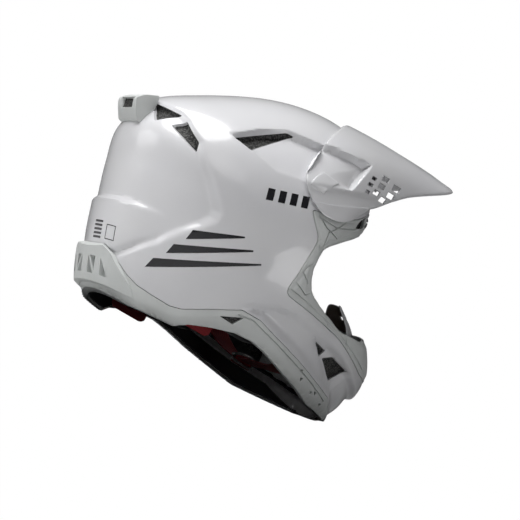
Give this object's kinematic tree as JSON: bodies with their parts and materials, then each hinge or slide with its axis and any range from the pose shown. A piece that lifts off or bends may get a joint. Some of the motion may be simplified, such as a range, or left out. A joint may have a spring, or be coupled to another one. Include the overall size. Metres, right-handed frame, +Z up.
{
  "type": "motocross helmet",
  "caption": "White open-face-port off-road motorcycle helmet with chin bar, tilting peak, vents, removable cheek pads and buckled chin strap",
  "frame": {"origin": "middle of the neck opening, on the plane the helmet rests on", "axes": "+X to the wearer's left, -Y the way the face looks, +Z up"},
  "size_m": [0.2574, 0.3512, 0.2688],
  "materials": {
    "shell_paint": "gloss white clear-coated laminate",
    "eps_foam": "matt moulded bead foam",
    "slip_sheet": "smooth low-friction sheet",
    "liner_cloth": "padded knitted cloth",
    "grey_foam": "soft textured foam",
    "trim_rubber": "satin light grey moulding",
    "white_plastic": "gloss white moulding",
    "brown_lining": "matt dark lining",
    "vent_mesh": "dark wire mesh",
    "black_plastic": "satin black moulding",
    "steel": "satin steel",
    "red_webbing": "red woven webbing"
  },
  "bodies": {
    "helmet": {"outer_shell": "shell_paint", "crown_impact_liner": "eps_foam", "cheek_impact_liner": "eps_foam", "slip_liner": "slip_sheet", "comfort_liner": "liner_cloth", "neck_roll": "liner_cloth", "chin_inner_pad": "grey_foam", "eyeport_trim": "trim_rubber", "base_trim": "trim_rubber", "nose_guard": "white_plastic", "nose_guard_liner": "brown_lining", "brow_vent_mesh": "vent_mesh", "side_vent_mesh": "vent_mesh", "rear_vent_mesh": "vent_mesh", "chin_side_mesh": "vent_mesh", "chin_vent_frame": "trim_rubber", "chin_vent_mesh": "vent_mesh", "rear_spoiler": "trim_rubber", "rear_spoiler_mesh": "vent_mesh", "rear_top_exhaust": "trim_rubber", "rear_top_mesh": "vent_mesh", "peak_mount": "black_plastic", "strap_anchor_left": "steel", "strap_anchor_right": "steel"},
    "peak_body": {"peak": "white_plastic", "peak_fin": "white_plastic", "peak_side_pins": "black_plastic"},
    "bolt_body": {"peak_bolt": "black_plastic"},
    "cheek_left": {"cheek_pad_left": "liner_cloth", "cheek_plate_left": "black_plastic", "release_tab_left": "red_webbing"},
    "cheek_right": {"cheek_pad_right": "liner_cloth", "cheek_plate_right": "black_plastic", "release_tab_right": "red_webbing"},
    "strap_body": {"strap_hanger_left": "steel", "strap_hanger_right": "steel", "chin_strap_left": "red_webbing", "chin_strap_right": "red_webbing"},
    "ring_upper_body": {"d_ring_upper": "steel"},
    "ring_lower_body": {"d_ring_lower": "steel"}
  },
  "joints": [
    {"name": "peak_tilt", "type": "hinge", "parent": "helmet", "child": "peak_body", "pos_m": [0, 0.021, 0.178], "axis": [-1, 0, 0], "range_deg": [-3, 7]},
    {"name": "peak_bolt_turn", "type": "hinge", "parent": "helmet", "child": "bolt_body", "pos_m": [0, -0.079, 0.246], "axis": [1, 0, 0], "continuous": true},
    {"name": "cheek_left_out", "type": "slide", "parent": "helmet", "child": "cheek_left", "axis": [0, 0, -1], "range_m": [0, 0.1]},
    {"name": "cheek_right_out", "type": "slide", "parent": "helmet", "child": "cheek_right", "axis": [0, 0, -1], "range_m": [0, 0.1]},
    {"name": "strap_swing", "type": "hinge", "parent": "helmet", "child": "strap_body", "pos_m": [0, -0.02, 0.078], "axis": [-1, 0, 0], "range_deg": [0, 15]},
    {"name": "ring_upper_turn", "type": "hinge", "parent": "strap_body", "child": "ring_upper_body", "pos_m": [0.0392, -0.064, 0.0229], "axis": [0, 1, 0], "range_deg": [0, 20]},
    {"name": "ring_lower_turn", "type": "hinge", "parent": "strap_body", "child": "ring_lower_body", "pos_m": [0.0392, -0.064, 0.0191], "axis": [0, 1, 0], "range_deg": [0, 10]}
  ]
}
